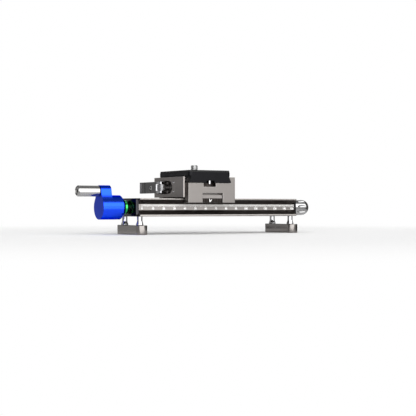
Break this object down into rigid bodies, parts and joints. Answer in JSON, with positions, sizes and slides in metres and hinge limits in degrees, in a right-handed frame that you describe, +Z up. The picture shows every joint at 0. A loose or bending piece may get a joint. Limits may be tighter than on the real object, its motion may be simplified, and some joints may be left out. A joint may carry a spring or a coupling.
{
  "type": "macro focusing rail",
  "caption": "Double-dovetail rail on two cross feet; a crank-driven lead screw moves a carriage with a lever clamp and a sliding camera plate.",
  "frame": {"origin": "middle of the rail's flat underside, midway between its cut ends", "axes": "+X along the rail, away from the crank; -Y is the scale side; +Z up, towards the camera"},
  "size_m": [0.2261, 0.073, 0.0584],
  "materials": {
    "rail_anodised": "satin grey anodised, fine drawn grain along the bar",
    "plate_anodised": "dark grey anodised, half mirror",
    "carriage_anodised": "satin titanium-grey anodised, bead blasted",
    "lever_anodised": "dark grey anodised",
    "black_anodised": "black hard anodised",
    "blue_anodised": "bright royal blue anodised",
    "green_anodised": "bright green anodised",
    "polished_aluminium": "polished",
    "polished_steel": "polished",
    "chrome": "polished",
    "bright_steel": "turned",
    "dark_steel": "black oxide",
    "bronze": "plain bearing bronze",
    "nylon": "plain",
    "rubber_pad": "ribbed rubber"
  },
  "bodies": {
    "rail": {"rail_extrusion": "rail_anodised", "end_plate_left": "plate_anodised", "end_plate_right": "plate_anodised", "end_plate_screws": "dark_steel", "screw_bearing_left": "bronze", "screw_bearing_right": "bronze", "foot_bar_left": "rail_anodised", "foot_bar_right": "rail_anodised", "foot_posts": "chrome", "foot_screws": "dark_steel"},
    "screw": {"lead_screw": "bright_steel", "thrust_washers": "bronze", "shaft_collar": "green_anodised", "crank_knob": "blue_anodised", "crank_set_screw": "dark_steel", "grip_spindle": "dark_steel", "fine_knob": "polished_aluminium", "fine_knob_set_screw": "dark_steel"},
    "grip": {"crank_grip": "polished_steel"},
    "carriage": {"carriage_block": "carriage_anodised", "lead_nut": "bronze", "nut_screws": "dark_steel", "glide_strip_front": "nylon", "glide_strip_rear": "nylon", "gib_screws": "dark_steel", "draw_bolt": "bright_steel", "guide_rods": "bright_steel", "jaw_springs": "bright_steel", "button_springs": "bright_steel"},
    "button": {"release_button": "black_anodised"},
    "jaw": {"moving_jaw": "carriage_anodised", "jaw_pins": "chrome"},
    "lever": {"clamp_lever": "lever_anodised", "lever_pin": "chrome", "lever_screw": "dark_steel"},
    "plate": {"camera_plate": "black_anodised", "plate_pad": "rubber_pad", "plate_stop_pins": "chrome"},
    "camera_stud": {"camera_screw": "bright_steel", "camera_screw_clip": "nylon"}
  },
  "joints": [
    {"name": "screw_spin", "type": "hinge", "parent": "rail", "child": "screw", "pos_m": [0, 0, 0.0075], "axis": [1, 0, 0], "range_deg": [-25201, 14941]},
    {"name": "carriage_slide", "type": "slide", "parent": "rail", "child": "carriage", "axis": [1, 0, 0], "range_m": [-0.0415, 0.07]},
    {"name": "grip_spin", "type": "hinge", "parent": "screw", "child": "grip", "pos_m": [-0.11505, 0, 0.02075], "axis": [1, 0, 0], "continuous": true},
    {"name": "lever_swing", "type": "hinge", "parent": "carriage", "child": "lever", "pos_m": [-0.04345, 0.008, 0.02445], "axis": [0, 0, 1], "range_deg": [0, 95]},
    {"name": "jaw_slide", "type": "slide", "parent": "carriage", "child": "jaw", "axis": [1, 0, 0], "range_m": [-0.00141, 0], "deforming": ["jaw_springs"]},
    {"name": "plate_slide", "type": "slide", "parent": "carriage", "child": "plate", "axis": [0, 1, 0], "range_m": [-0.003, 0.003]},
    {"name": "camera_stud_turn", "type": "hinge", "parent": "plate", "child": "camera_stud", "pos_m": [-0.0162, 0, 0.035], "axis": [0, 0, 1], "continuous": true},
    {"name": "button_press", "type": "slide", "parent": "carriage", "child": "button", "axis": [0, 1, 0], "range_m": [0, 0.0014], "stiffness_N_per_m": 500, "deforming": ["button_springs"]}
  ],
  "couplings": [
    {"joint": "screw_spin", "follows": "carriage_slide", "rad_per_m": -6283.2},
    {"joint": "jaw_slide", "follows": "lever_swing", "m_per_rad": -0.00084436}
  ]
}
